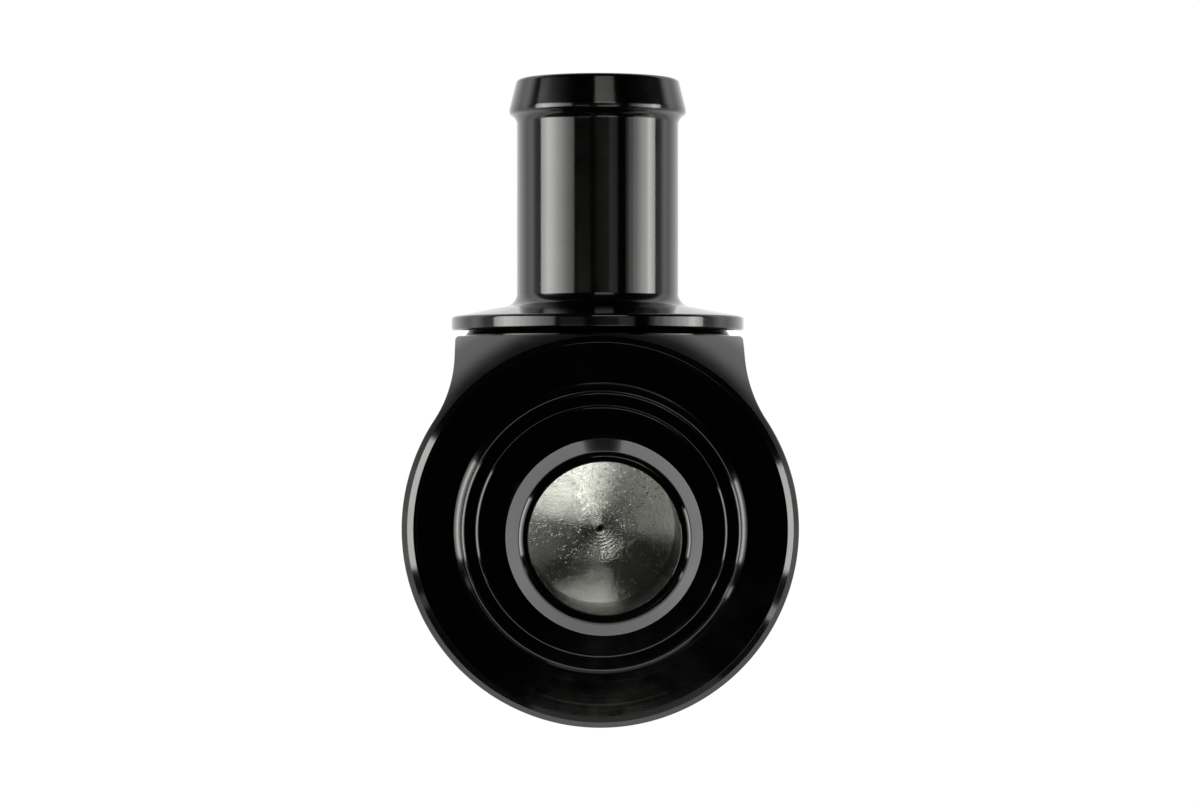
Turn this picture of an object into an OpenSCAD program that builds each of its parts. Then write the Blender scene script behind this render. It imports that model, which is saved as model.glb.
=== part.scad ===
// Piston blow off valve: a round body with a boss on one side, a hose tail
// screwed into its front hub and a second one into the boss, and a sprung
// piston that closes the inlet from behind. The valve stands on its cap,
// valve axis up, inlet at the top and outlet towards +Y. Millimetres.

/* [Body] */
// Diameter of the round body
body_d = 47.5; // [47.1:0.1:48.3]
// Length of the body between its two flat faces
body_len = 53.5; // [53.5:0.5:56]
// Width of the outlet boss across its flat sides
boss_w = 35.1; // [34.7:0.1:35.5]
// Distance from the valve axis to the top of the boss
boss_top = 23.2; // [23.1:0.1:23.6]
// Radius of the hollow blend between boss and round body
boss_blend = 14; // [12:0.5:15]
// Radius of the ball shape that both body ends are turned to
ball_r = 30.5; // [30.5:0.25:32]
// Width of the bevel between the flat faces and the ball shape
face_bevel = 0.74; // [0.6:0.02:0.9]
// Diameter of the raised hub around the inlet
hub_d = 33; // [32.4:0.1:33.2]
// Height of the hub over the front face
hub_h = 5.2; // [4.8:0.1:5.6]
// Diameter of the piston bore
bore_d = 32; // [31.6:0.1:32]

/* [Hose tails] */
// Outer diameter of the plain tube of both hose tails
tube_d = 20.3; // [19.9:0.1:20.5]
// Bore of both hose tails at the open end
tail_bore = 17; // [16.4:0.1:17.2]
// Diameter over the bead that holds the hose
bead_d = 22.2; // [21.8:0.1:22.6]
// Axial length of the cylindrical crest of the bead
bead_land = 0.5; // [0.5:0.1:0.8]
// Height of the inlet tail over the front face
inlet_reach = 28.2; // [26:0.1:32]
// Distance from the valve axis to the tip of the outlet tail
outlet_reach = 55.6; // [52:0.1:58]
// Depth of the outlet axis behind the front face
outlet_depth = 23.4; // [23.2:0.1:24.2]
// Diameter of the inlet tail flange
inlet_flange_d = 29.7; // [29.2:0.1:30]
// Diameter of the outlet tail flange
outlet_flange_d = 36.7; // [36.2:0.1:37.2]
// Diameter of the plain thread cylinder on both tails
thread_d = 26; // [25.6:0.1:26]

/* [Piston and spring] */
// Diameter of the piston nose
nose_d = 22; // [21.8:0.1:22.4]
// Travel of the piston from closed to fully open
stroke = 6.5; // [6:0.1:6.5]
// Spring wire diameter
wire_d = 1.6; // [1.4:0.1:1.8]
// Mean diameter of the spring coil
coil_d = 13.2; // [12.8:0.1:13.6]
// Number of turns of the spring, end turns included
coil_turns = 13; // [11:1:14]

/* [Cap and nipple] */
// How far the cap stands out behind the body
cap_proud = 9.5; // [9.5:0.1:11]
// Diameter of the part of the cap that stands out
cap_boss_d = 33; // [32.4:0.1:33]
// Diameter of the counterbore that takes the cap
cap_seat_d = 40; // [39.8:0.1:40]
// Width across the flats of the nipple hexagon
hex_af = 8; // [7:0.5:8]
// Diameter over the barbs of the nipple
barb_d = 5.1; // [4.8:0.1:5.4]

/* [Hidden] */
$fn = 96;

// radii
body_r = body_d/2;
hub_r = hub_d/2;
bore_r = bore_d/2;
tube_r = tube_d/2;
mouth_r = tail_bore/2;
bead_r = bead_d/2;
thread_r = thread_d/2;
seat_bore_r = mouth_r + 0.5;
cap_seat_r = cap_seat_d/2;
cap_boss_r = cap_boss_d/2;
nose_r = nose_d/2;
wire_r = wire_d/2;
coil_r = coil_d/2;
barb_r = barb_d/2;

// heights over the surface that the cap stands on
z_rear = cap_proud;
z_front = z_rear + body_len;
z_hub = z_front + hub_h;
z_out = z_front - outlet_depth;
z_tip = z_front + inlet_reach;
z_seat = z_front - 5;
z_ring = z_rear + 0.75;
ring_t = 1.2;
z_cap = z_ring + ring_t + 0.2;
cap_t = 4;
z_shoulder = z_cap + cap_t;
z_land = z_shoulder + 0.3 + stroke;
land_h = 5.6;
z_face = z_seat - 0.1;
z_pocket = z_seat - 8;
pocket_r = 8.2;
z_recess = z_shoulder - 2.05;
washer_t = 0.8;
z_nipple = 4.8;
y_flat = cap_boss_r - 0.9;
y_hex = y_flat + 0.8;

// where the bevel of a flat face runs over into the ball shape
ball_in = body_r - 0.71;
ball_a = asin(ball_in/ball_r);
face_edge = ball_in - face_bevel;
ball_drop = face_bevel*tan(38) + ball_r*cos(ball_a);

black = [0.035, 0.035, 0.038];
silver = [0.74, 0.74, 0.75];
rubber = [0.05, 0.05, 0.05];
steel = [0.6, 0.6, 0.62];
ptfe = [0.85, 0.84, 0.8];
brass = [0.78, 0.62, 0.32];

function arc(cx, cy, r, a0, a1, n) =
    [for (i = [0:n]) let (a = a0 + (a1 - a0)*i/n) [cx + r*cos(a), cy + r*sin(a)]];

// turned outline of the body with its hub, as radius and height
function blank() = concat(
    [[0, z_rear]],
    [[face_edge, z_rear]],
    arc(0, z_rear + ball_drop, ball_r, -90 + ball_a, 0, 12),
    arc(0, z_front - ball_drop, ball_r, 0, 90 - ball_a, 12),
    [[face_edge, z_front]],
    arc(hub_r + 1.3, z_front + 1.3, 1.3, -90, -180, 6),
    arc(hub_r - 0.4, z_hub - 0.4, 0.4, 0, 90, 4),
    [[0, z_hub]]);

// boss outline seen along the valve axis, with its hollow blends
blend_x = boss_w/2 + boss_blend;
blend_y = sqrt(pow(body_r + boss_blend, 2) - blend_x*blend_x);
blend_a = 180 + atan2(blend_y, blend_x);
boss_half = concat(
    [[body_r*0.7, 2]],
    arc(blend_x, blend_y, boss_blend + 0.01, blend_a + 1, 180, 8),
    arc(boss_w/2 - 0.45, boss_top - 0.45, 0.45, 0, 90, 4));
boss_outline = concat(boss_half,
    [for (i = [len(boss_half) - 1:-1:0]) [-boss_half[i][0], boss_half[i][1]]]);

// points along +Y at the height of the outlet or the nipple
module along_y(z) { translate([0, 0, z]) rotate([-90, 0, 0]) children(); }

// ring of round section lying flat
module o_ring(r, w) { rotate_extrude() translate([r, 0]) circle(r = w, $fn = 32); }

module valve_body() {
    color(black) difference() {
        intersection() {
            rotate_extrude() polygon(blank());
            union() {
                translate([0, 0, z_rear - 1]) cylinder(r = body_r, h = body_len + hub_h + 2);
                translate([0, 0, z_rear - 1])
                    linear_extrude(body_len + hub_h + 2) polygon(boss_outline);
            }
        }
        // flat top of the boss
        translate([-body_r, boss_top, z_rear - 1]) cube([body_d, 10, body_len + hub_h + 2]);
        // counterbore, ring groove and piston bore
        translate([0, 0, z_rear - 1]) cylinder(r = cap_seat_r, h = z_shoulder - z_rear + 1);
        translate([0, 0, z_rear - 0.01]) cylinder(r1 = cap_seat_r + 0.5, r2 = cap_seat_r, h = 0.5);
        translate([0, 0, z_ring - 0.05]) cylinder(r = cap_seat_r + 1, h = ring_t + 0.1);
        translate([0, 0, z_shoulder - 1]) cylinder(r = bore_r, h = z_seat - z_shoulder + 1);
        translate([0, 0, z_shoulder - 0.01]) cylinder(r1 = bore_r + 0.6, r2 = bore_r, h = 0.6);
        // inlet thread hole and its seal recess
        translate([0, 0, z_seat - 1]) cylinder(r = thread_r, h = 20);
        translate([0, 0, z_hub - 1.2]) cylinder(r = thread_r + 1.3, h = 5);
        // outlet passage, thread hole and its seal recess
        along_y(z_out) cylinder(r = mouth_r, h = 40);
        along_y(z_out) translate([0, 0, boss_top - 5.8]) cylinder(r = thread_r, h = 20);
        along_y(z_out) translate([0, 0, boss_top - 1.2]) cylinder(r = thread_r + 1.3, h = 5);
    }
}

// half section of a hose tail: root profile up to the tube, then tube and bead
function bead(h, cone_r, flat_r, cone_len) = concat(
    [[tube_r, h - cone_len - 0.4 - bead_land - 1.2],
     [tube_r + 0.2, h - cone_len - 0.4 - bead_land - 0.72],
     [bead_r - 0.2, h - cone_len - 0.4 - bead_land - 0.25],
     [bead_r, h - cone_len - 0.4 - bead_land],
     [bead_r, h - cone_len - 0.4],
     [cone_r, h - 0.4],
     [cone_r - 0.08, h - 0.22],
     [cone_r - 0.24, h - 0.08],
     [flat_r, h],
     [mouth_r + 0.15, h],
     [mouth_r, h - 0.15]]);

module inlet_hose_tail() {
    color(black) rotate_extrude() polygon(concat(
        [[seat_bore_r, z_seat], [thread_r - 0.43, z_seat], [thread_r - 0.03, z_seat + 0.4],
         [thread_r - 0.03, z_hub], [inlet_flange_d/2, z_hub]],
        arc(inlet_flange_d/2 - 0.35, z_hub + 0.65, 0.35, 0, 90, 4),
        arc(tube_r + 1.5, z_hub + 2.5, 1.5, -90, -180, 6),
        bead(z_tip, tube_r - 0.42, tube_r - 0.98, 3.75)));
}

module inlet_o_ring() {
    color(rubber) translate([0, 0, z_hub - 0.6]) o_ring(thread_r + 0.63, 0.56);
}

module outlet_hose_tail() {
    fr = outlet_flange_d/2;
    color(black) along_y(z_out) rotate_extrude() polygon(concat(
        [[mouth_r, boss_top - 5.75], [thread_r - 0.43, boss_top - 5.75],
         [thread_r - 0.03, boss_top - 5.35], [thread_r - 0.03, boss_top],
         [fr - 1.82, boss_top], [fr - 1.86, boss_top + 0.28], [fr - 2.15, boss_top + 0.5],
         [fr - 2.15, boss_top + 0.85]],
        arc(fr - 0.4, boss_top + 1.25, 0.4, -90, 0, 4),
        arc(fr - 0.42, boss_top + 2.28, 0.42, 0, 80, 4),
        [[tube_r + 2.7, boss_top + 3.71]],
        arc(tube_r + 1.9, boss_top + 5.78, 1.9, -100, -180, 6),
        bead(outlet_reach, tube_r + 0.14, tube_r - 0.45, 3.2)));
}

module outlet_o_ring() {
    color(rubber) along_y(z_out) translate([0, 0, boss_top - 0.6]) o_ring(thread_r + 0.63, 0.56);
}

module piston() {
    lr = bore_r - 0.05;
    color(silver) rotate_extrude() polygon([
        [0, z_face - 1], [0.5, z_face - 0.46], [4.6, z_face - 0.4], [8.7, z_face], [9.05, z_face],
        [9.05, z_face - 1.35], [10.45, z_face - 1.35], [10.45, z_face],
        [nose_r - 0.2, z_face], [nose_r, z_face - 0.2],
        [nose_r, z_land + land_h + 1], [nose_r + 1, z_land + land_h],
        [lr - 0.3, z_land + land_h], [lr, z_land + land_h - 0.3],
        [lr, z_land + 5.1], [lr - 0.95, z_land + 5.1], [lr - 0.95, z_land + 3.3], [lr, z_land + 3.3],
        [lr, z_land + 2.75], [lr - 1.75, z_land + 2.75], [lr - 1.75, z_land + 0.55], [lr, z_land + 0.55],
        [lr, z_land + 0.3], [lr - 0.3, z_land],
        [pocket_r + 0.4, z_land], [pocket_r, z_land + 0.4], [pocket_r, z_pocket], [0, z_pocket]]);
}

module seat_o_ring() {
    color(rubber) translate([0, 0, z_face - 0.69]) o_ring(9.75, 0.66);
}

module piston_o_ring() {
    color(rubber) translate([0, 0, z_land + 1.65]) o_ring(bore_r - 0.91, 0.86);
}

module piston_guide_band() {
    color(ptfe) difference() {
        translate([0, 0, z_land + 3.35]) cylinder(r = bore_r - 0.03, h = 1.7);
        translate([0, 0, z_land + 3]) cylinder(r = bore_r - 0.98, h = 3);
        translate([0, -bore_r, z_land + 4.2]) rotate([0, 45, 0]) cube([0.5, 4, 6], center = true);
    }
}

// coil with closed end turns, swept round the valve axis
coil_lo = z_recess + washer_t + 0.02 + wire_r;
coil_hi = z_pocket - 0.02 - wire_r;
coil_n = 20;
function coil_rise(t) = let (e = 1.25, q = wire_d + 0.08, p = (coil_hi - coil_lo - 2*e*q)/(coil_turns - 2*e))
    t < e ? coil_lo + t*q :
    t > coil_turns - e ? coil_hi - (coil_turns - t)*q :
    coil_lo + e*q + (t - e)*p;
module return_spring() {
    n = coil_turns*coil_n;
    k = 8;
    pts = [for (i = [0:n]) let (a = 360*i/coil_n, z = coil_rise(i/coil_n))
        for (j = [0:k - 1]) let (b = 360*j/k, q = coil_r + wire_r*cos(b))
            [q*cos(a), q*sin(a), z + wire_r*sin(b)]];
    sides = [for (i = [0:n - 1]) for (j = [0:k - 1])
        [i*k + j, i*k + (j + 1) % k, (i + 1)*k + (j + 1) % k, (i + 1)*k + j]];
    ends = [[for (j = [k - 1:-1:0]) j], [for (j = [0:k - 1]) n*k + j]];
    color(steel) polyhedron(pts, concat(sides, ends), convexity = 10);
}

module spring_seat_washer() {
    color(steel) translate([0, 0, z_recess]) difference() {
        cylinder(r = pocket_r - 0.4, h = washer_t);
        translate([0, 0, -1]) cylinder(r = 3, h = 3);
    }
}

module cap() {
    dr = cap_seat_r - 0.05;
    color(black) difference() {
        rotate_extrude() polygon([
            [0, 0], [9.8, 0], [10, 0.3], [10.6, 0.3], [10.8, 0], [cap_boss_r - 0.6, 0], [cap_boss_r, 0.6],
            [cap_boss_r, z_cap], [dr - 0.3, z_cap], [dr, z_cap + 0.3],
            [dr, z_cap + 1], [dr - 1.75, z_cap + 1], [dr - 1.75, z_cap + 2.9], [dr, z_cap + 2.9],
            [dr, z_cap + cap_t - 0.45], [dr - 0.4, z_cap + cap_t - 0.05],
            [pocket_r + 0.3, z_cap + cap_t - 0.05], [pocket_r, z_cap + cap_t - 0.35],
            [pocket_r, z_recess], [0, z_recess]]);
        // flat for the nipple, and the way from nipple to spring chamber
        translate([-10, y_flat, -1]) cube([20, 10, z_rear + 0.8]);
        translate([0, 0, z_nipple]) cylinder(r = 1.5, h = 20);
        along_y(z_nipple) cylinder(r = 1.5, h = 40);
        along_y(z_nipple) translate([0, 0, 9.5]) cylinder(r = 2.5, h = 30);
    }
}

module cap_o_ring() {
    color(rubber) translate([0, 0, z_cap + 1.95]) o_ring(cap_seat_r - 0.93, 0.85);
}

// split ring with two eyed ends
module cap_retaining_ring() {
    r1 = cap_seat_r + 0.92;
    ea = 12;
    color(steel) translate([0, 0, z_ring]) difference() {
        union() {
            difference() {
                cylinder(r = r1, h = ring_t);
                translate([0, 0, -1]) cylinder(r = r1 - 2.3, h = ring_t + 2);
                linear_extrude(10, center = true)
                    polygon([[0, 0], [-40*sin(ea), -40*cos(ea)], [40*sin(ea), -40*cos(ea)]]);
            }
            for (s = [-1, 1]) rotate([0, 0, s*ea - 90]) translate([r1 - 2.15, 0, 0])
                cylinder(r = 1.95, h = ring_t);
        }
        for (s = [-1, 1]) rotate([0, 0, s*ea - 90]) translate([r1 - 2.15, 0, -1])
            cylinder(r = 0.9, h = ring_t + 2);
    }
}

module vacuum_nipple() {
    y0 = y_hex + 4;
    color(brass) along_y(z_nipple) difference() {
        union() {
            rotate_extrude() polygon([
                [0, 10], [2.15, 10], [2.45, 10.3], [2.45, y_hex + 1], [2.9, y_hex + 3],
                [2.9, y0 + 0.8], [1.95, y0 + 1.4], [1.95, y0 + 6.2],
                [barb_r, y0 + 6.2], [barb_r, y0 + 6.6], [1.95, y0 + 9.4],
                [barb_r, y0 + 9.4], [barb_r, y0 + 9.8], [1.7, y0 + 12.8], [0, y0 + 12.8]]);
            intersection() {
                translate([0, 0, y_hex])
                    cylinder(r = hex_af/2/cos(30), h = 4, $fn = 6);
                rotate_extrude() polygon([
                    [0, y_hex - 1], [hex_af/2 + 0.05, y_hex - 1], [hex_af/2 + 0.05, y_hex],
                    [hex_af/2 + 1.45, y_hex + 0.8], [hex_af/2 + 1.45, y_hex + 3.2],
                    [hex_af/2 + 0.05, y_hex + 4], [0, y_hex + 4]]);
            }
        }
        translate([0, 0, 9]) cylinder(r = 1.1, h = 40);
    }
}

module nipple_sealing_washer() {
    color(steel) along_y(z_nipple) translate([0, 0, y_flat]) difference() {
        cylinder(r = 4, h = 0.8);
        translate([0, 0, -1]) cylinder(r = 2.6, h = 3);
    }
}

valve_body();
inlet_hose_tail();
inlet_o_ring();
outlet_hose_tail();
outlet_o_ring();
piston();
seat_o_ring();
piston_o_ring();
piston_guide_band();
return_spring();
spring_seat_washer();
cap();
cap_o_ring();
cap_retaining_ring();
vacuum_nipple();
nipple_sealing_washer();
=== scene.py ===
import math

import bmesh
import bpy
from mathutils import Matrix, Vector


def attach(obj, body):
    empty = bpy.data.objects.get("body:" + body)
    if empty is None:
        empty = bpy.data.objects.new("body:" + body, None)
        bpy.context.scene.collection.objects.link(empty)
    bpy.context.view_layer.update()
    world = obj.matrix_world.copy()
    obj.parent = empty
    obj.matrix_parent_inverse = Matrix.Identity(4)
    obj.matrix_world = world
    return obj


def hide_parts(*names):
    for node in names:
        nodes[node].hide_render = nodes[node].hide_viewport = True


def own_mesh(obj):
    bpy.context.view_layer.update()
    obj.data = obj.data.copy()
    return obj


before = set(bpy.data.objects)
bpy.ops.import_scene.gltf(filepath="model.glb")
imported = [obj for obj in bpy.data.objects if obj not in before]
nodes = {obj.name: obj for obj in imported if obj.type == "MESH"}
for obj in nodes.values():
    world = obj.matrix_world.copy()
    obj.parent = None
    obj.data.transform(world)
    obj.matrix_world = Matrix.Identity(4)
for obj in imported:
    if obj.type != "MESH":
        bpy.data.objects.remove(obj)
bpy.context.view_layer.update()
scene = bpy.context.scene
MM = 0.001

# ---------------------------------------------------------------- dimensions (mm)
BODY_R, BODY_LEN = 23.75, 53.5
Z_REAR = 9.5
Z_FRONT = Z_REAR + BODY_LEN
HUB_R, Z_HUB = 16.52, Z_FRONT + 5.2
BOSS_X, BOSS_Y, BLEND = 17.55, 23.2, 14.0
BALL_R, BEVEL, BEVEL_A = 30.5, 0.74, 38.0
BALL_IN = BODY_R - 0.71
BALL_A = math.degrees(math.asin(BALL_IN / BALL_R))
FACE_EDGE = BALL_IN - BEVEL
BEVEL_H = BEVEL * math.tan(math.radians(BEVEL_A))
BALL_DROP = BEVEL_H + BALL_R * math.cos(math.radians(BALL_A))
Z_OUT = Z_FRONT - 23.4
Z_TIP = Z_FRONT + 28.2
Y_TIP = 55.6
Z_SEAT = Z_FRONT - 5
Z_SHOULDER = 15.65
Z_LAND = 22.45
Z_FACE = Z_SEAT - 0.1
Z_POCKET = Z_SEAT - 8
Z_RECESS = Z_SHOULDER - 2.05
Z_CAP = 11.65
Z_NIPPLE = 4.8
Z_OUTLINE = Z_FRONT - 1.38

# ---------------------------------------------------------------- camera
PX = 8.377                       # photo pixels per mm at the body's outline
DIST = 430.0
eye = Vector((-7.09, 15.14, Z_OUTLINE + DIST)) * MM
aim = Vector((-0.06, 15.35, Z_OUTLINE)) * MM
cam_data = bpy.data.cameras.new("camera")
cam_data.sensor_fit = "HORIZONTAL"
cam_data.sensor_width = 36.0
cam_data.lens = 36.0 * PX * DIST / 1200.0
cam_data.clip_start = 0.01
cam_data.clip_end = 50.0
cam = bpy.data.objects.new("camera", cam_data)
scene.collection.objects.link(cam)
back = (eye - aim).normalized()
right = Vector((0, 1, 0)).cross(back).normalized()
up = back.cross(right)
m = Matrix((right, up, back)).transposed().to_4x4()
m.translation = eye
cam.matrix_world = m
scene.camera = cam


# ---------------------------------------------------------------- mesh helpers
def arc(cx, cy, r, a0, a1, n):
    return [(cx + r * math.cos(math.radians(a0 + (a1 - a0) * i / n)),
             cy + r * math.sin(math.radians(a0 + (a1 - a0) * i / n))) for i in range(n + 1)]


def supported(prof, closed=True, gap=0.04):
    """Adds points close to the ends of each long straight, so that smooth shading stays flat along it."""
    out = []
    n = len(prof)
    for i in range(n):
        a = prof[i]
        out.append(a)
        if i == n - 1 and not closed:
            break
        b = prof[(i + 1) % n]
        d = math.hypot(b[0] - a[0], b[1] - a[1])
        if d > 6 * gap:
            t = gap / d
            out.append((a[0] + (b[0] - a[0]) * t, a[1] + (b[1] - a[1]) * t))
            out.append((b[0] - (b[0] - a[0]) * t, b[1] - (b[1] - a[1]) * t))
    return out


def finish_mesh(name, bm, sharp=32.0):
    bmesh.ops.remove_doubles(bm, verts=bm.verts, dist=1e-8)
    bmesh.ops.recalc_face_normals(bm, faces=bm.faces)
    me = bpy.data.meshes.new(name)
    bm.to_mesh(me)
    bm.free()
    me.shade_smooth()
    me.set_sharp_from_angle(angle=math.radians(sharp))
    ob = bpy.data.objects.new(name, me)
    scene.collection.objects.link(ob)
    return ob


def lathe_bm(prof, n=192, closed=True, to_world=lambda r, h, c, s: (r * c, r * s, h)):
    bm = bmesh.new()
    rings = []
    for r, h in prof:
        if r < 1e-6:
            rings.append([bm.verts.new([x * MM for x in to_world(0, h, 1, 0)])])
        else:
            ring = []
            for i in range(n):
                a = 2 * math.pi * i / n
                ring.append(bm.verts.new([x * MM for x in to_world(r, h, math.cos(a), math.sin(a))]))
            rings.append(ring)
    pairs = list(zip(rings[:-1], rings[1:]))
    if closed and len(rings[0]) > 1 and len(rings[-1]) > 1:
        pairs.append((rings[-1], rings[0]))
    for p, q in pairs:
        if len(p) == 1 and len(q) == 1:
            continue
        for i in range(n):
            j = (i + 1) % n
            if len(p) == 1:
                bm.faces.new((p[0], q[i], q[j]))
            elif len(q) == 1:
                bm.faces.new((p[i], p[j], q[0]))
            else:
                bm.faces.new((p[i], p[j], q[j], q[i]))
    return bm


def about_y(z0):
    return lambda r, h, c, s: (r * c, h, z0 + r * s)


def lathe(name, prof, n=192, closed=True, to_world=None, sharp=32.0):
    f = to_world or (lambda r, h, c, s: (r * c, r * s, h))
    return finish_mesh(name, lathe_bm(supported(prof, closed), n, closed, f), sharp)


def cut(ob, tool, sharp=32.0):
    """Takes the closed mesh tool out of ob, and removes tool."""
    mod = ob.modifiers.new("cut", "BOOLEAN")
    mod.operation = "DIFFERENCE"
    mod.solver = "EXACT"
    mod.object = tool
    bpy.context.view_layer.update()
    dg = bpy.context.evaluated_depsgraph_get()
    me = bpy.data.meshes.new_from_object(ob.evaluated_get(dg))
    ob.modifiers.clear()
    old = ob.data
    ob.data = me
    bpy.data.meshes.remove(old)
    bpy.data.objects.remove(tool)
    me.shade_smooth()
    me.set_sharp_from_angle(angle=math.radians(sharp))


# ---------------------------------------------------------------- body
def boss_columns():
    """Directions from the valve axis, as degrees from +Y, and the outline's distance in each."""
    cr = 0.45
    bx = BOSS_X + BLEND
    by = math.sqrt((BODY_R + BLEND) ** 2 - bx * bx)
    tx, ty = bx * BODY_R / (BODY_R + BLEND), by * BODY_R / (BODY_R + BLEND)
    a_top = math.degrees(math.atan2(BOSS_X - cr, BOSS_Y))
    a_side = math.degrees(math.atan2(BOSS_X, BOSS_Y - cr))
    a_blend = math.degrees(math.atan2(BOSS_X, by))
    a_round = math.degrees(math.atan2(tx, ty))

    def dist(a):
        sx, sy = math.sin(math.radians(a)), math.cos(math.radians(a))
        if a <= a_top:
            return BOSS_Y / sy
        if a <= a_side:
            cx, cy, r, far = BOSS_X - cr, BOSS_Y - cr, cr, True
        elif a <= a_blend:
            return BOSS_X / sx
        elif a <= a_round:
            cx, cy, r, far = bx, by, BLEND, False
        else:
            return BODY_R
        b = cx * sx + cy * sy
        d = max(b * b - (cx * cx + cy * cy - r * r), 0.0) ** 0.5
        return b + d if far else b - d

    half = []
    for lo, hi, n in ((0, a_top, 30), (a_top, a_side, 10), (a_side, a_blend, 10),
                      (a_blend, a_round, 24), (a_round, 180, 150)):
        e = 0.08
        half.append(lo)
        half += [lo + e + (hi - lo - 2 * e) * i / n for i in range(n + 1)]
    half = sorted(set(round(a, 5) for a in half))
    cols = [(a, dist(a)) for a in half]
    return cols + [(360 - a, d) for a, d in reversed(cols) if a > 1e-6]


def edge_arc(r, z, er, lead):
    """Broken outer edge at radius r under the face at z: leaves the face at a corner of lead degrees."""
    t = math.radians(lead)
    return list(reversed(arc(r - er, z - er * math.cos(t), er, 0, 90 - lead, 12)))


def body_mesh():
    EDGE = 0.38
    zc_f, zc_r = Z_FRONT - BALL_DROP, Z_REAR + BALL_DROP
    inner = supported([(16.0, Z_SEAT), (13.0, Z_SEAT), (13.0, Z_HUB - 1.2), (14.3, Z_HUB - 1.2), (14.3, Z_HUB)]
                      + edge_arc(HUB_R, Z_HUB, 0.5, 13.0)
                      + list(reversed(arc(HUB_R + 1.33, Z_FRONT + 1.33 * math.cos(math.radians(16)), 1.33, -106, -180, 14))), closed=False)
    er = 0.12
    et = er * math.tan(math.radians(BEVEL_A / 2))
    ca, sa = math.cos(math.radians(BEVEL_A)), math.sin(math.radians(BEVEL_A))
    # flat face with a faint crease, softly broken edge, bevel
    face = supported([inner[-1], (21.95, Z_FRONT), (21.953, Z_FRONT - 0.001), (FACE_EDGE - et, Z_FRONT - 0.001)], closed=False)[1:]
    rounding = list(reversed(arc(FACE_EDGE - et, Z_FRONT - er, er, 90 - BEVEL_A, 90, 8)))[1:]
    rounding += [(BALL_IN - 0.05 * ca, Z_FRONT - BEVEL_H + 0.05 * sa), (BALL_IN, Z_FRONT - BEVEL_H)]
    front = inner + face + rounding
    rear_round = [(r, Z_REAR + Z_FRONT - z) for r, z in reversed(rounding)]
    rear = rear_round + supported(
        [rear_round[-1], (20.5, Z_REAR), (20.0, Z_REAR + 0.5), (20.0, 10.2), (21.0, 10.2), (21.0, 11.5),
         (20.0, 11.5), (20.0, Z_SHOULDER), (16.6, Z_SHOULDER), (16.0, Z_SHOULDER + 0.6), (16.0, Z_SEAT)],
        closed=False)[1:-1]
    cols = boss_columns()

    def outer(rho, EDGE):
        """Ball shape, rounded edge, wall, rounded edge, ball shape for one direction."""
        b0 = math.degrees(math.asin((rho - EDGE) / (BALL_R - EDGE)))
        dz = math.sqrt((BALL_R - EDGE) ** 2 - (rho - EDGE) ** 2)
        n = 14
        ball = [(BALL_R * math.sin(math.radians(BALL_A + (b0 - BALL_A) * i / n)),
                 BALL_R * math.cos(math.radians(BALL_A + (b0 - BALL_A) * i / n))) for i in [0.12] + list(range(1, n + 1))]
        edge = [(rho - EDGE + EDGE * math.cos(math.radians((90 - b0) * (1 - i / 7))),
                 dz + EDGE * math.sin(math.radians((90 - b0) * (1 - i / 7)))) for i in range(1, 8)]
        up_half = ball + edge + [(rho, dz - 0.05)]
        return [(r, zc_f + z) for r, z in up_half] + [(r, zc_r - z) for r, z in reversed(up_half)]

    bm = bmesh.new()
    grid = []
    for a, rho in cols:
        s, c = math.sin(math.radians(a)), math.cos(math.radians(a))
        # the edge is nearly sharp along the flat top of the boss
        k = min(max((min(a, 360 - a) - 36.0) / 2.0, 0.0), 1.0)
        col = [(r, z) for r, z in front] + outer(rho, 0.12 + (EDGE - 0.12) * k) + [(r, z) for r, z in rear]
        grid.append([bm.verts.new((r * s * MM, r * c * MM, z * MM)) for r, z in col])
    n = len(grid[0])
    for i in range(len(grid)):
        p, q = grid[i], grid[(i + 1) % len(grid)]
        for k in range(n):
            kk = (k + 1) % n
            bm.faces.new((p[k], q[k], q[kk], p[kk]))
    ob = finish_mesh("valve_body_shell", bm)
    tool_prof = [(0, 6), (8.5, 6), (8.5, BOSS_Y - 5.8), (13, BOSS_Y - 5.8), (13, BOSS_Y - 1.2),
                 (14.3, BOSS_Y - 1.2), (14.3, 32), (0, 32)]
    tool = finish_mesh("tool", lathe_bm(tool_prof, 160, False, about_y(Z_OUT)))
    cut(ob, tool, 12.0)
    return ob


# ---------------------------------------------------------------- hose tails
def bead_prof(h, tr, br, flat_r, cone_r, cone_len, tip=0.6, lead=0.0):
    """Tube end, hollow under the bead, crest, lead-in cone, rounded tip and mouth."""
    b0 = h - cone_len - 0.4 - 0.5
    pts = [(tr, b0 - 1.5), (tr + 0.012, b0 - 1.35)]
    pts += arc(tr + 1.461, b0 - 1.701, 1.5, 165, 122, 12)
    pts += arc(br - 0.55, b0 + 0.06, 0.55, -62, 0, 9)
    k = math.degrees(math.atan2(br - cone_r, cone_len))
    pts += arc(br - 1.0, b0 + 0.24, 1.0, 0, k, 5)
    pts += arc(flat_r, h - tip * math.cos(math.radians(lead)), tip, k, 90 - lead, 12)
    pts += arc(8.6, h - 0.1, 0.1, 90, 180, 10)
    return pts


def inlet_tail():
    prof = [(9.0, Z_SEAT), (12.57, Z_SEAT), (12.97, Z_SEAT + 0.4), (12.97, Z_HUB)]
    prof += [(14.85, Z_HUB)]
    prof += list(reversed(edge_arc(14.85, Z_HUB + 1, 0.5, 13.0)))
    prof += arc(10.75, Z_HUB + 1.6, 0.6, -90, -180, 12)
    prof += bead_prof(Z_TIP, 10.15, 11.1, 8.86, 9.72, 3.6, 0.95, 15.0)
    return lathe("inlet_hose_tail_turned", prof, 224, sharp=12.0)


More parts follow.
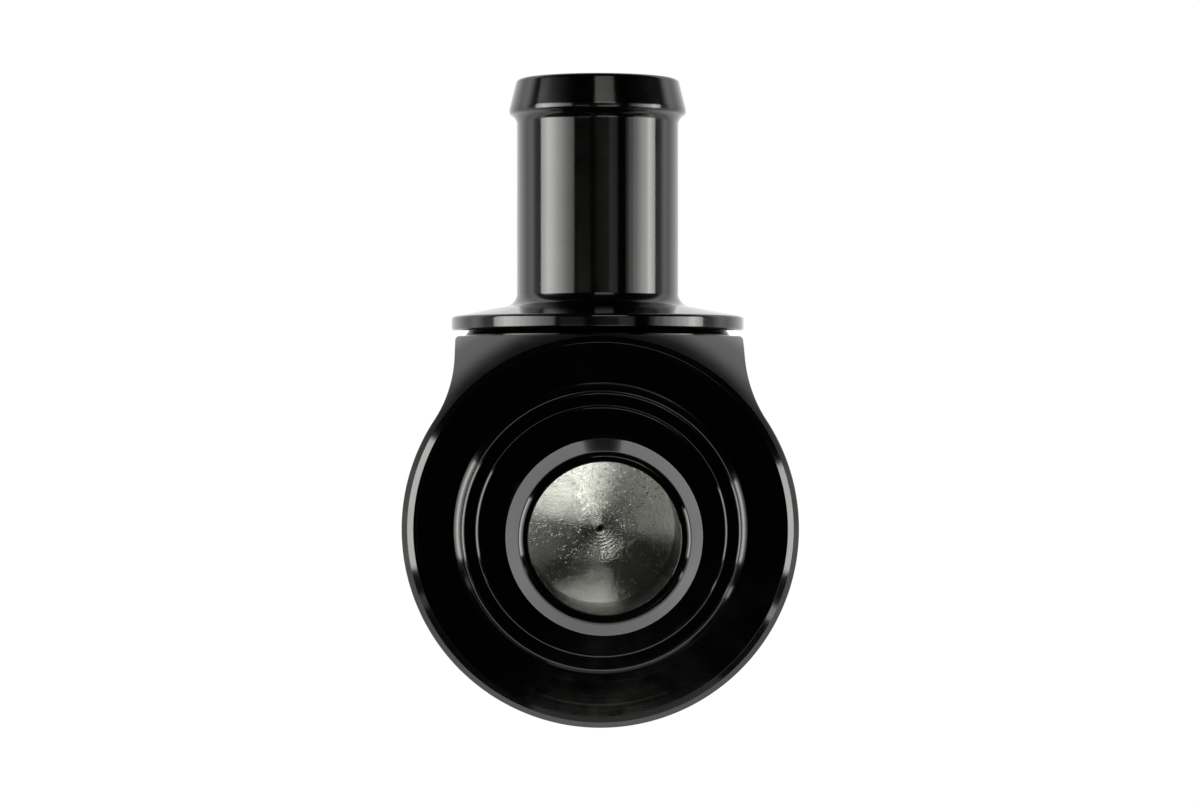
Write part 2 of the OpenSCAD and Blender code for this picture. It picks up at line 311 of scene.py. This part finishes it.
def outlet_tail():
    fr, t = 18.35, BOSS_Y
    prof = [(8.5, t - 5.75), (12.57, t - 5.75), (12.97, t - 5.35), (12.97, t),
            (fr - 1.9, t), (fr - 1.73, t + 0.17), (fr - 1.72, t + 0.31), (fr - 1.85, t + 0.39), (fr - 2.15, t + 0.85)]
    prof += arc(fr - 0.4, t + 1.25, 0.4, -90, 0, 7)
    prof += arc(fr - 0.42, t + 2.28, 0.42, 0, 78.8, 7)
    prof += [(12.85, t + 3.71)]
    # the fillet meets the tube at a slight corner, and the tube has a fine step where two cuts meet
    cx = 10.15 - 1.9 * math.cos(math.radians(168))
    prof += arc(cx, t + 5.78, 1.9, -100, -167, 12) + arc(cx, t + 5.78, 1.9, -168, -168, 1)[:1]
    prof += [(10.15, 34.757), (10.157, 34.765)]
    prof += bead_prof(Y_TIP, 10.15, 11.1, 9.7, 10.29, 3.2)
    return lathe("outlet_hose_tail_turned", prof, 224, to_world=about_y(Z_OUT))


# ---------------------------------------------------------------- piston, spring, cap, nipple
def feed_rings():
    """Coarse feed grooves round the centre of the piston face, each shallower than the one inside it."""
    pts = []
    for i, depth in enumerate((0.024, 0.032, 0.032, 0.026, 0.018, 0.009)):
        r = 0.62 + 0.42 * i
        for dr, k in ((0.0, 0.0), (0.07, 0.55), (0.14, 1.0), (0.21, 1.0), (0.28, 0.5), (0.35, 0.0)):
            pts.append((r + dr, Z_FACE - 0.455 + 0.012 * (r + dr - 0.45) - k * depth))
    return pts


def piston_mesh():
    lr = 15.95
    prof = [(0, Z_FACE - 1.0), (0.2, Z_FACE - 0.97), (0.3, Z_FACE - 0.62), (0.37, Z_FACE - 0.47),
            (0.45, Z_FACE - 0.455)] + feed_rings()
    # dished face: nearly level in the middle, steeper outwards
    prof += [(4.6 + 4.4 * i / 8, Z_FACE - 0.3895 + 0.287 * i / 8 + 0.1025 * (i / 8) ** 2) for i in range(9)]
    prof += [(9.05, Z_FACE),
            (9.05, Z_FACE - 1.35), (10.45, Z_FACE - 1.35), (10.45, Z_FACE),
            (10.8, Z_FACE), (11.0, Z_FACE - 0.2)]
    prof += arc(12.0, Z_LAND + 6.6, 1.0, -180, -90, 8)
    prof += [(lr - 0.3, Z_LAND + 5.6), (lr, Z_LAND + 5.3),
             (lr, Z_LAND + 5.1), (lr - 0.95, Z_LAND + 5.1), (lr - 0.95, Z_LAND + 3.3), (lr, Z_LAND + 3.3),
             (lr, Z_LAND + 2.75), (lr - 1.75, Z_LAND + 2.75), (lr - 1.75, Z_LAND + 0.55), (lr, Z_LAND + 0.55),
             (lr, Z_LAND + 0.3), (lr - 0.3, Z_LAND), (8.6, Z_LAND), (8.2, Z_LAND + 0.4),
             (8.2, Z_POCKET), (0, Z_POCKET)]
    return lathe("piston_turned", prof, 192, closed=False)


def spring_mesh():
    wr, cr, turns, e, q = 0.8, 6.6, 13, 1.25, 1.68
    lo, hi = Z_RECESS + 0.82 + wr, Z_POCKET - 0.02 - wr
    p = (hi - lo - 2 * e * q) / (turns - 2 * e)

    def rise(t):
        if t < e:
            return lo + t * q
        if t > turns - e:
            return hi - (turns - t) * q
        return lo + e * q + (t - e) * p

    bm = bmesh.new()
    seg, k = 40, 14
    rings = []
    n = turns * seg
    for i in range(n + 1):
        a = 2 * math.pi * i / seg
        z = rise(i / seg)
        ring = []
        for j in range(k):
            b = 2 * math.pi * j / k
            r = cr + wr * math.cos(b)
            # the two end faces are ground flat
            zz = z + wr * math.sin(b)
            zz = min(max(zz, lo - 0.62), hi + 0.62)
            ring.append(bm.verts.new((r * math.cos(a) * MM, r * math.sin(a) * MM, zz * MM)))
        rings.append(ring)
    for i in range(n):
        for j in range(k):
            bm.faces.new((rings[i][j], rings[i][(j + 1) % k], rings[i + 1][(j + 1) % k], rings[i + 1][j]))
    bm.faces.new(list(reversed(rings[0])))
    bm.faces.new(rings[-1])
    bmesh.ops.recalc_face_normals(bm, faces=bm.faces)
    return finish_mesh("return_spring_coil", bm, 40)


def cap_mesh():
    dr, br = 19.95, 16.5
    prof = [(0, 0), (9.8, 0), (9.9, 0.22)] + [(10.3, 0.3), (10.7, 0.22), (10.8, 0)]
    prof += arc(br - 0.6, 0.6, 0.6, -90, 0, 8)
    prof += [(br, Z_CAP), (dr - 0.3, Z_CAP), (dr, Z_CAP + 0.3), (dr, Z_CAP + 1), (dr - 1.75, Z_CAP + 1),
             (dr - 1.75, Z_CAP + 2.9), (dr, Z_CAP + 2.9), (dr, Z_CAP + 3.55), (dr - 0.4, Z_CAP + 3.95),
             (8.5, Z_CAP + 3.95), (8.2, Z_CAP + 3.65), (8.2, Z_RECESS), (1.5, Z_RECESS), (1.5, Z_NIPPLE), (0, Z_NIPPLE)]
    ob = lathe("cap_turned", prof, 192, closed=False)
    bm = bmesh.new()
    bmesh.ops.create_cube(bm, size=1.0, matrix=Matrix.Translation(Vector((0, 15.6 + 5, 4.15)) * MM)
                          @ Matrix.Diagonal(Vector((24, 10, 10.3, 1000)) * MM))
    cut(ob, finish_mesh("tool", bm))
    tool_prof = [(0, 0.5), (1.5, 0.5), (1.5, 9.5), (2.5, 9.5), (2.5, 15.3), (2.8, 15.65), (2.8, 20), (0, 20)]
    cut(ob, finish_mesh("tool", lathe_bm(tool_prof, 64, False, about_y(Z_NIPPLE))))
    return ob


def nipple_mesh():
    y_hex, y0 = 16.4, 20.4
    f = about_y(Z_NIPPLE)
    prof = [(1.1, 10), (2.15, 10), (2.45, 10.3)]
    # threaded shank as shallow rings
    y = 10.5
    while y < 15.6:
        prof += [(2.45, y), (2.12, y + 0.28), (2.12, y + 0.36), (2.45, y + 0.64)]
        y += 0.8
    prof += [(2.45, y_hex + 1), (2.9, y_hex + 3), (2.9, y0 + 0.7)]
    prof += arc(2.5, y0 + 0.9, 0.4, 0, 70, 5)
    prof += [(1.95, y0 + 1.6), (1.95, y0 + 6.2), (2.5, y0 + 6.2), (2.55, y0 + 6.25), (2.55, y0 + 6.6), (1.95, y0 + 9.4),
             (2.5, y0 + 9.4), (2.55, y0 + 9.45), (2.55, y0 + 9.8), (1.75, y0 + 12.7), (1.65, y0 + 12.8), (1.1, y0 + 12.8)]
    barb = lathe("vacuum_nipple_barb", prof, 96, to_world=f)
    # hexagon with its corners turned off at both ends
    bm = bmesh.new()
    af = 4.0
    n = 96
    rows = []
    for h, lim in ((0, 4.05), (0.08, 4.12), (0.45, 4.75), (3.55, 4.75), (3.92, 4.12), (4.0, 4.05)):
        ring = []
        for i in range(n):
            a = 2 * math.pi * i / n
            k = (math.degrees(a) + 30) % 60 - 30
            # flats face up and down, corners sideways, edges just broken
            rr = min(af / math.cos(math.radians(30 - abs(k))), lim, 4.56)
            ring.append(bm.verts.new([x * MM for x in f(rr, y_hex + h, math.cos(a), math.sin(a))]))
        rows.append(ring)
    for p, q in zip(rows[:-1], rows[1:]):
        for i in range(n):
            bm.faces.new((p[i], p[(i + 1) % n], q[(i + 1) % n], q[i]))
    inner = []
    for h in (0, 4.0):
        inner.append([bm.verts.new([x * MM for x in f(2.0, y_hex + h, math.cos(2 * math.pi * i / n), math.sin(2 * math.pi * i / n))])
                      for i in range(n)])
    for ring, row in ((inner[0], rows[0]), (inner[1], rows[-1])):
        for i in range(n):
            bm.faces.new((ring[i], ring[(i + 1) % n], row[(i + 1) % n], row[i]))
    for i in range(n):
        bm.faces.new((inner[0][i], inner[0][(i + 1) % n], inner[1][(i + 1) % n], inner[1][i]))
    hexa = finish_mesh("vacuum_nipple_hexagon", bm, 20)
    return barb, hexa


# ---------------------------------------------------------------- materials
def new_mat(name):
    mat = bpy.data.materials.new(name)
    mat.use_nodes = True
    nt = mat.node_tree
    nt.nodes.clear()
    out = nt.nodes.new("ShaderNodeOutputMaterial")
    bsdf = nt.nodes.new("ShaderNodeBsdfPrincipled")
    nt.links.new(bsdf.outputs[0], out.inputs[0])
    return mat, nt, bsdf


def math_node(nt, op, a, b=None, c=None):
    n = nt.nodes.new("ShaderNodeMath")
    n.operation = op
    for i, v in enumerate((a, b, c)):
        if v is None:
            continue
        if isinstance(v, (int, float)):
            n.inputs[i].default_value = v
        else:
            nt.links.new(v, n.inputs[i])
    return n.outputs[0]


def turned_coords(nt, axis, off):
    """Distance from the turning axis and distance along it, in metres."""
    tc = nt.nodes.new("ShaderNodeTexCoord")
    sep = nt.nodes.new("ShaderNodeSeparateXYZ")
    nt.links.new(tc.outputs["Object"], sep.inputs[0])
    x, y, z = sep.outputs
    if axis == "Z":
        u, v, w = x, y, z
    else:
        u, v, w = x, math_node(nt, "SUBTRACT", z, off), y
    r = math_node(nt, "SQRT", math_node(nt, "ADD", math_node(nt, "MULTIPLY", u, u), math_node(nt, "MULTIPLY", v, v)))
    return tc.outputs["Object"], r, w


def noise1(nt, w, scale, detail=2.0, rough=0.6):
    n = nt.nodes.new("ShaderNodeTexNoise")
    n.noise_dimensions = "1D"
    n.inputs["Scale"].default_value = scale
    n.inputs["Detail"].default_value = detail
    n.inputs["Roughness"].default_value = rough
    nt.links.new(w, n.inputs["W"])
    return n.outputs[0]


def noise3(nt, co, scale, detail=2.0, rough=0.55):
    n = nt.nodes.new("ShaderNodeTexNoise")
    n.inputs["Scale"].default_value = scale
    n.inputs["Detail"].default_value = detail
    n.inputs["Roughness"].default_value = rough
    nt.links.new(co, n.inputs["Vector"])
    return n.outputs[0]


def ramp(nt, v, lo, hi, a, b):
    n = nt.nodes.new("ShaderNodeMapRange")
    nt.links.new(v, n.inputs[0])
    for i, x in enumerate((lo, hi, a, b)):
        n.inputs[i + 1].default_value = x
    return n.outputs[0]


def bump(nt, h, dist, strength=1.0, normal=None):
    n = nt.nodes.new("ShaderNodeBump")
    n.inputs["Strength"].default_value = strength
    n.inputs["Distance"].default_value = dist
    nt.links.new(h, n.inputs["Height"])
    if normal is not None:
        nt.links.new(normal, n.inputs["Normal"])
    return n.outputs[0]


def mix_color(nt, f, a, b):
    n = nt.nodes.new("ShaderNodeMix")
    n.data_type = "RGBA"
    n.clamp_factor = False
    nt.links.new(f, n.inputs[0])
    n.inputs[6].default_value = (*a, 1)
    n.inputs[7].default_value = (*b, 1)
    return n.outputs[2]


def anodised(name, axis="Z", off=0.0, rough=0.145, aniso=0.85, flat_less=0.1, ior=1.55, flat_fine=0.2):
    """Black anodised aluminium: fine turning lines and slight grain."""
    mat, nt, b = new_mat(name)
    co, r, w = turned_coords(nt, axis, off)
    run = math_node(nt, "ADD", r, w)
    lines = noise1(nt, run, 5200.0, 3.0, 0.7)
    wide = noise1(nt, run, 900.0, 2.0, 0.5)
    grain = noise3(nt, co, 9000.0, 1.0)
    cloud = noise3(nt, co, 260.0, 3.0)
    # faces square to the axis are cut finer than the rest
    geo = nt.nodes.new("ShaderNodeNewGeometry")
    gs = nt.nodes.new("ShaderNodeSeparateXYZ")
    nt.links.new(geo.outputs["True Normal"], gs.inputs[0])
    square = math_node(nt, "ABSOLUTE", gs.outputs[2 if axis == "Z" else 1])
    flat = ramp(nt, square, 0.985, 0.998, 0.0, flat_less)
    fine = ramp(nt, square, 0.985, 0.998, 1.0, flat_fine)
    n1 = bump(nt, math_node(nt, "MULTIPLY", lines, fine), 1.3e-6)
    n2 = bump(nt, wide, 3.0e-6, 1.0, n1)
    n3 = bump(nt, math_node(nt, "MULTIPLY", grain, fine), 0.9e-6, 1.0, n2)
    nt.links.new(n3, b.inputs["Normal"])
    nt.links.new(math_node(nt, "SUBTRACT", ramp(nt, cloud, 0.3, 0.7, rough - 0.015, rough + 0.02), flat), b.inputs["Roughness"])
    nt.links.new(mix_color(nt, cloud, (0.0003, 0.0003, 0.00032), (0.0007, 0.0007, 0.00075)), b.inputs["Base Color"])
    b.inputs["Metallic"].default_value = 0.0
    b.inputs["IOR"].default_value = ior
    b.inputs["Anisotropic"].default_value = aniso
    b.inputs["Anisotropic Rotation"].default_value = 0.25
    t = nt.nodes.new("ShaderNodeTangent")
    t.direction_type = "RADIAL"
    t.axis = axis
    nt.links.new(t.outputs[0], b.inputs["Tangent"])
    return mat


def turned_bare(name, axis="Z", off=0.0, color=(0.84, 0.83, 0.79), rough=0.28, aniso=0.6, pitch=2600.0, depth=3.0e-6,
                speck=0.0, hole=0.0):
    """Bare turned metal with feed lines; speck adds torn grain; hole paints shade into a drilled centre, a few pit
    marks and the feed-ring grooves round it.
    """
    mat, nt, b = new_mat(name)
    co, r, w = turned_coords(nt, axis, off)
    run = math_node(nt, "ADD", r, w)
    lines = noise1(nt, run, pitch, 3.0, 0.65)
    grain = noise3(nt, co, 9000.0, 2.0, 0.6)
    cloud = noise3(nt, co, 420.0, 4.0)
    n = bump(nt, lines, depth)
    grain_tone_and_painted_shade = ramp(nt, grain, 0.35, 0.75, 0.0, 1.0)
    uneven = ramp(nt, cloud, 0.3, 0.7, rough - 0.03, rough + 0.03)
    if speck:
        torn = noise3(nt, co, 6500.0, 1.0, 0.5)
        n = bump(nt, torn, speck, 1.0, n)
        grain_tone_and_painted_shade = math_node(nt, "ADD", math_node(nt, "MULTIPLY", grain_tone_and_painted_shade, 0.5), ramp(nt, torn, 0.52, 0.7, 0.0, 0.7))
        # small torn dimples that catch light from all sides
        dots = nt.nodes.new("ShaderNodeTexVoronoi")
        dots.inputs["Scale"].default_value = 3700.0
        nt.links.new(co, dots.inputs["Vector"])
        pick = nt.nodes.new("ShaderNodeSeparateColor")
        nt.links.new(dots.outputs["Color"], pick.inputs[0])
        dimple = math_node(nt, "MULTIPLY", ramp(nt, dots.outputs["Distance"], 0.0, 0.4, -1.0, 0.0), ramp(nt, pick.outputs[0], 0.35, 0.9, 0.0, 1.0))
        # fewer of them are deep, but for one rough sector of the face
        at = nt.nodes.new("ShaderNodeSeparateXYZ")
        nt.links.new(co, at.inputs[0])
        sector = math_node(nt, "MULTIPLY", ramp(nt, at.outputs[0], 0.0, 0.002, 0.0, 0.9), ramp(nt, at.outputs[1], 0.001, 0.004, 0.0, 1.0))
        n = bump(nt, math_node(nt, "MULTIPLY", dimple, math_node(nt, "ADD", sector, 0.6)), 2.2e-5, 1.0, n)
    if hole:
        # painted shade: darker colour in the coarse feed-ring grooves round the drilled centre
        zone = ramp(nt, r, 0.0019, 0.0027, 1.0, 0.0)
        groove_shade_wave = math_node(nt, "SINE", math_node(nt, "MULTIPLY", math_node(nt, "ADD", r, math_node(nt, "MULTIPLY", lines, 0.8e-4)), 2 * math.pi / 0.00042))
        grain_tone_and_painted_shade = math_node(nt, "ADD", grain_tone_and_painted_shade, math_node(nt, "MULTIPLY", zone, ramp(nt, groove_shade_wave, -0.2, 1.0, 0.0, 1.5)))
        # painted shade: a few small dark pit marks scattered over the face
        vor = nt.nodes.new("ShaderNodeTexVoronoi")
        vor.inputs["Scale"].default_value = 300.0
        vor.inputs["Randomness"].default_value = 1.0
        nt.links.new(co, vor.inputs["Vector"])
        painted_pit_shade = ramp(nt, vor.outputs["Distance"], 0.045, 0.06, 2.2, 0.0)
        # painted shade: the drilled centre hole darkened in colour
        centre = ramp(nt, r, hole, hole * 1.2, 3.0, 0.0)
        grain_tone_and_painted_shade = math_node(nt, "ADD", grain_tone_and_painted_shade, math_node(nt, "MAXIMUM", painted_pit_shade, centre))
    n = bump(nt, grain, 0.8e-6, 1.0, n)
    nt.links.new(n, b.inputs["Normal"])
    nt.links.new(uneven, b.inputs["Roughness"])
    dark = tuple(c * 0.68 for c in color)
    # base colour darker with random grain tone, and where hole is set also with painted shade
    nt.links.new(mix_color(nt, ramp(nt, grain_tone_and_painted_shade, 0.0, 3.0, 0.0, 3.0), color, dark), b.inputs["Base Color"])
    b.inputs["Metallic"].default_value = 1.0
    b.inputs["Anisotropic"].default_value = aniso
    b.inputs["Anisotropic Rotation"].default_value = 0.25
    t = nt.nodes.new("ShaderNodeTangent")
    t.direction_type = "RADIAL"
    t.axis = axis
    nt.links.new(t.outputs[0], b.inputs["Tangent"])
    return mat


def rubber(name):
    mat, nt, b = new_mat(name)
    tc = nt.nodes.new("ShaderNodeTexCoord")
    co = tc.outputs["Object"]
    grain = noise3(nt, co, 9000.0, 3.0)
    nt.links.new(bump(nt, grain, 6.0e-6), b.inputs["Normal"])
    nt.links.new(mix_color(nt, noise3(nt, co, 900.0, 2.0), (0.012, 0.012, 0.012), (0.028, 0.027, 0.026)), b.inputs["Base Color"])
    nt.links.new(ramp(nt, grain, 0.3, 0.7, 0.48, 0.62), b.inputs["Roughness"])
    b.inputs["IOR"].default_value = 1.5
    return mat


def plastic(name):
    mat, nt, b = new_mat(name)
    tc = nt.nodes.new("ShaderNodeTexCoord")
    co = tc.outputs["Object"]
    grain = noise3(nt, co, 7000.0, 3.0)
    nt.links.new(bump(nt, grain, 4.0e-6), b.inputs["Normal"])
    nt.links.new(mix_color(nt, noise3(nt, co, 1500.0, 3.0), (0.66, 0.63, 0.56), (0.76, 0.74, 0.68)), b.inputs["Base Color"])
    nt.links.new(ramp(nt, grain, 0.3, 0.7, 0.4, 0.5), b.inputs["Roughness"])
    return mat


m_body = anodised("black_anodised_body", "Z")
m_tail_z = anodised("black_anodised_inlet", "Z", rough=0.12, flat_less=0.065, ior=1.51, flat_fine=0.3)
m_bore = anodised("black_anodised_bore", "Z", rough=0.25, aniso=0.2, flat_less=0.0)
m_tail_y = anodised("black_anodised_outlet", "Y", Z_OUT * MM, flat_less=0.06, flat_fine=1.0)
m_cap = anodised("black_anodised_cap", "Z", rough=0.2, flat_less=0.06, flat_fine=0.6)
# the piston's colour carries painted shade in its drilled centre, pit marks and feed-ring grooves
m_piston = turned_bare("turned_aluminium", "Z", color=(0.92, 0.92, 0.90), rough=0.25, aniso=1.0, speck=0.25e-5, hole=0.00034)
m_steel = turned_bare("spring_steel_drawn", "Z", color=(0.52, 0.52, 0.53), rough=0.32, aniso=0.3, pitch=6000.0, depth=1.0e-6)
m_washer = turned_bare("aluminium_washer", "Y", Z_NIPPLE * MM, color=(0.75, 0.75, 0.76), rough=0.35, aniso=0.4)
m_brass = turned_bare("turned_brass", "Y", Z_NIPPLE * MM, color=(0.80, 0.60, 0.29), rough=0.26, aniso=0.4, pitch=4200.0, depth=1.5e-6)
m_rubber = rubber("black_rubber")
m_ptfe = plastic("filled_ptfe")


def paint(ob, mat):
    ob.data.materials.clear()
    ob.data.materials.append(mat)


def add(ob, mat, body, slot, *replaced):
    paint(ob, mat)
    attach(ob, body)
    if replaced:
        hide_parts(*replaced)
    return ob


add(body_mesh(), m_body, "housing", "black_anodised", "valve_body")
inlet = add(inlet_tail(), m_tail_z, "housing", "black_anodised", "inlet_hose_tail")
inlet.data.materials.append(m_bore)
for f in inlet.data.polygons:
    if math.hypot(f.center.x, f.center.y) < 9.1 * MM and f.center.z < (Z_TIP - 0.6) * MM:
        f.material_index = 1
add(outlet_tail(), m_tail_y, "housing", "black_anodised", "outlet_hose_tail")
piston = add(piston_mesh(), m_piston, "piston_group", "bare_aluminium", "piston")
add(cap_mesh(), m_cap, "cap_group", "black_anodised", "cap")
barb, hexa = nipple_mesh()
add(barb, m_brass, "cap_group", "brass", "vacuum_nipple")
add(hexa, m_brass, "cap_group", "brass")
spring = add(spring_mesh(), m_steel, "housing", "spring_steel", "return_spring")
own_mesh(spring)

for n in ("inlet_o_ring", "outlet_o_ring", "seat_o_ring", "piston_o_ring", "cap_o_ring"):
    paint(nodes[n], m_rubber)
paint(nodes["piston_guide_band"], m_ptfe)
paint(nodes["spring_seat_washer"], m_steel)
paint(nodes["cap_retaining_ring"], m_steel)
paint(nodes["nipple_sealing_washer"], m_washer)

# ---------------------------------------------------------------- floor and light
def stage_plane(name, size, z, mat):
    bm = bmesh.new()
    bmesh.ops.create_grid(bm, x_segments=1, y_segments=1, size=size)
    me = bpy.data.meshes.new(name)
    bm.to_mesh(me)
    bm.free()
    ob = bpy.data.objects.new(name, me)
    scene.collection.objects.link(ob)
    ob.location = (0, 0.0155, z)
    me.materials.append(mat)
    return ob


# floor glow that the part mirrors: uneven, and not seen by the camera
m_floor = bpy.data.materials.new("floor_glow")
m_floor.use_nodes = True
nt = m_floor.node_tree
nt.nodes.clear()
fo = nt.nodes.new("ShaderNodeOutputMaterial")
fe = nt.nodes.new("ShaderNodeEmission")
fe.inputs[0].default_value = (1, 1, 1, 1)
co, r, w = turned_coords(nt, "Z", 0.0)
fs = nt.nodes.new("ShaderNodeSeparateXYZ")
nt.links.new(co, fs.inputs[0])
far = ramp(nt, fs.outputs[1], -0.32, 0.2, 1.4, 0.05)
behind = math_node(nt, "MULTIPLY", ramp(nt, fs.outputs[1], 0.12, 0.2, 0.0, 0.97),
                   ramp(nt, math_node(nt, "ABSOLUTE", fs.outputs[0]), 0.19, 0.29, 1.0, 0.0))
beside = math_node(nt, "MULTIPLY", ramp(nt, fs.outputs[0], 0.083, 0.094, 0.0, 0.2), ramp(nt, fs.outputs[1], 0.0, 0.02, 1.0, 0.0))
dim = math_node(nt, "MULTIPLY", ramp(nt, fs.outputs[1], -0.10, -0.058, 0.6, 1.0),
                math_node(nt, "SUBTRACT", math_node(nt, "SUBTRACT", 1.0, behind), beside))
near = ramp(nt, r, 0.15, 0.27, 1.0, 0.0)
nt.links.new(math_node(nt, "ADD", math_node(nt, "MULTIPLY", math_node(nt, "MULTIPLY", near, dim), math_node(nt, "ADD", ramp(nt, r, 0.055, 0.085, 1.25, 0.94), ramp(nt, r, 0.095, 0.125, 0.0, 0.41))),
                       math_node(nt, "MULTIPLY", math_node(nt, "SUBTRACT", 1.0, near), far)), fe.inputs[1])
nt.links.new(fe.outputs[0], fo.inputs[0])
stage_plane("floor_glow", 3.0, -0.00005, m_floor).visible_camera = False

# plain white floor that only the camera sees
m_white = bpy.data.materials.new("white_floor")
m_white.use_nodes = True
wn = m_white.node_tree
wn.nodes.clear()
wo = wn.nodes.new("ShaderNodeOutputMaterial")
we = wn.nodes.new("ShaderNodeEmission")
we.inputs[0].default_value = (1, 1, 1, 1)
we.inputs[1].default_value = 1.02
wn.links.new(we.outputs[0], wo.inputs[0])
only_seen = ("visible_diffuse", "visible_glossy", "visible_transmission", "visible_volume_scatter", "visible_shadow")
white = stage_plane("floor", 3.0, -0.0001, m_white)
for flag in only_seen:
    setattr(white, flag, False)

# light backdrop for the other views: only the camera sees it
m_back = bpy.data.materials.new("backdrop")
m_back.use_nodes = True
bn = m_back.node_tree
bn.nodes.clear()
bo = bn.nodes.new("ShaderNodeOutputMaterial")
be = bn.nodes.new("ShaderNodeEmission")
be.inputs[0].default_value = (0.93, 0.93, 0.93, 1)
be.inputs[1].default_value = 0.9
bn.links.new(be.outputs[0], bo.inputs[0])
bm = bmesh.new()
bmesh.ops.create_uvsphere(bm, u_segments=48, v_segments=24, radius=2.9)
me = bpy.data.meshes.new("backdrop")
bm.to_mesh(me)
bm.free()
me.materials.append(m_back)
dome = bpy.data.objects.new("backdrop", me)
scene.collection.objects.link(dome)
for flag in only_seen:
    setattr(dome, flag, False)

world = bpy.data.worlds.new("world")
scene.world = world
world.use_nodes = True
world.node_tree.nodes["Background"].inputs[0].default_value = (1, 1, 1, 1)
world.node_tree.nodes["Background"].inputs[1].default_value = 0.005


def panel(name, center, size_x, size_y, radiance, x_dir, normal, color=(0.975, 1.0, 0.95)):
    """Rectangular soft light: center in metres, x_dir along its first side, normal the way it shines."""
    ld = bpy.data.lights.new(name, "AREA")
    ld.shape = "RECTANGLE"
    ld.color = color
    ld.size = size_x
    ld.size_y = size_y
    ld.energy = radiance * math.pi * size_x * size_y
    ob = bpy.data.objects.new(name, ld)
    scene.collection.objects.link(ob)
    zz = -Vector(normal).normalized()
    xx = Vector(x_dir).normalized()
    yy = zz.cross(xx)
    mat = Matrix((xx, yy, zz)).transposed().to_4x4()
    mat.translation = Vector(center)
    ob.matrix_world = mat
    return ob


# upright panels left and right, each brightest near the floor
D = 0.5
for side, y0, y1, strips in (
        (-1, -0.125, 0.255, ((0.057, 0.10, 6.0), (0.10, 0.14, 7.3), (0.14, 0.23, 9.1), (0.23, 0.29, 8.0), (0.29, 0.35, 6.5),
                             (0.35, 0.42, 5.3), (0.42, 0.49, 4.1), (0.49, 0.57, 3.1), (0.57, 0.66, 2.4), (0.66, 0.77, 1.9))),
        (1, -0.134, 0.16, ((0.057, 0.09, 5.8), (0.09, 0.125, 7.2), (0.125, 0.185, 9.2), (0.185, 0.24, 6.4), (0.24, 0.30, 5.4),
                            (0.30, 0.36, 4.0), (0.36, 0.45, 2.6), (0.45, 0.56, 1.4), (0.56, 0.64, 0.5)))):
    for i, (z0, z1, power) in enumerate(strips):
        panel("panel_%s_%d" % ("left" if side < 0 else "right", i), (side * D, (y0 + y1) / 2, (z0 + z1) / 2),
              y1 - y0, z1 - z0, power, (0, 1, 0), (-side, 0, 0))


# overhead lights on both sides of the camera, given by the slopes they span as seen from the part
def overhead(name, cx, cy, sx, sy, power, turn=0.0, h=0.9):
    a = math.radians(turn)
    return panel(name, (cx * h, cy * h, Z_OUTLINE * MM + h), sx * h, sy * h, power,
                 (math.cos(a), math.sin(a), 0), (0, 0, -1), (0.99, 1.0, 0.91))


overhead("overhead_low", 0.035, -0.347, 0.12, 0.45, 1.8)
overhead("overhead_right", 0.2977, -0.335, 0.42, 0.45, 2.25, -10.0)
# a small light for the piston alone, shielded from the rest
lit = bpy.data.collections.new("lit_down_the_bore")
lit.objects.link(piston)
overhead("overhead_near", 0.07, -0.1385, 0.08, 0.043, 8.8, 0.0, 0.88).light_linking.receiver_collection = lit
overhead("overhead_high", 0.17, 0.43, 0.50, 0.14, 3.8)
overhead("overhead_far", 0.17, 0.625, 0.50, 0.25, 2.05)
# weak light from the right and the left of the camera, and from the near side of the room
overhead("side_right", 0.40, 0.045, 0.24, 0.27, 0.38)
overhead("side_left", -0.40, -0.19, 0.40, 0.40, 0.68)
overhead("side_left_low", -0.1125, -0.27, 0.175, 0.24, 0.25)
panel("strip_left", (-D, -0.225, 0.2), 0.045, 0.36, 0.7, (0, 1, 0), (1, 0, 0))
panel("strip_right", (D, -0.26, 0.2), 0.05, 0.36, 3.5, (0, 1, 0), (-1, 0, 0))
panel("near_wall", (0.15, -0.7, 0.17), 0.8, 0.3, 0.4, (1, 0, 0), (0, 1, 0))

scene.view_settings.view_transform = "Standard"
scene.view_settings.look = "None"
scene.view_settings.exposure = 0.0
scene.view_settings.gamma = 1.0
